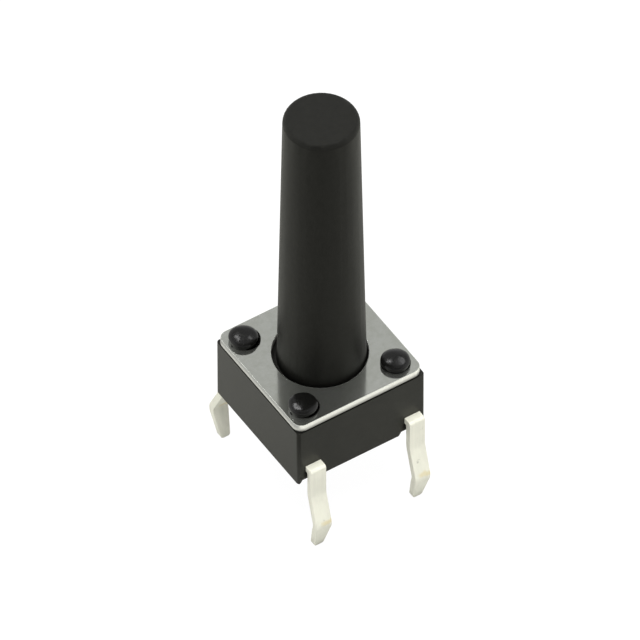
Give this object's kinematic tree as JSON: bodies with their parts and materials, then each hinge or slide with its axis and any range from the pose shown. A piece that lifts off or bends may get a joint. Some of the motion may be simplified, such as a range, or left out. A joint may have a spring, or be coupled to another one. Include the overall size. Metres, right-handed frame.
{
  "type": "tactile push button switch",
  "caption": "Through-hole tactile switch: square black housing, steel cover plate held by staked pegs, snap-in legs and a tall tapered round button that springs back.",
  "frame": {"origin": "middle of the housing's underside, on the plane of the circuit board's top face", "axes": "+Z along the button, away from the board; X along the short pitch of the legs; Y across the two rows of legs"},
  "size_m": [0.006, 0.0079, 0.0206],
  "materials": {
    "housing_plastic": "satin black moulded plastic",
    "plate_steel": "rolled stainless sheet with sheared edges",
    "button_plastic": "smooth black moulded plastic",
    "spring_steel": "bright spring steel",
    "plated_brass": "satin tin plating over brass"
  },
  "bodies": {
    "switch_body": {"housing": "housing_plastic", "cover_plate": "plate_steel", "snap_dome": "spring_steel", "outer_terminal": "plated_brass", "centre_terminal": "plated_brass"},
    "button": {"button": "button_plastic"}
  },
  "joints": [
    {"name": "button_press", "type": "slide", "parent": "switch_body", "child": "button", "axis": [0, 0, -1], "range_m": [0, 0.00025], "stiffness_N_per_m": 6400, "deforming": ["snap_dome"]}
  ]
}
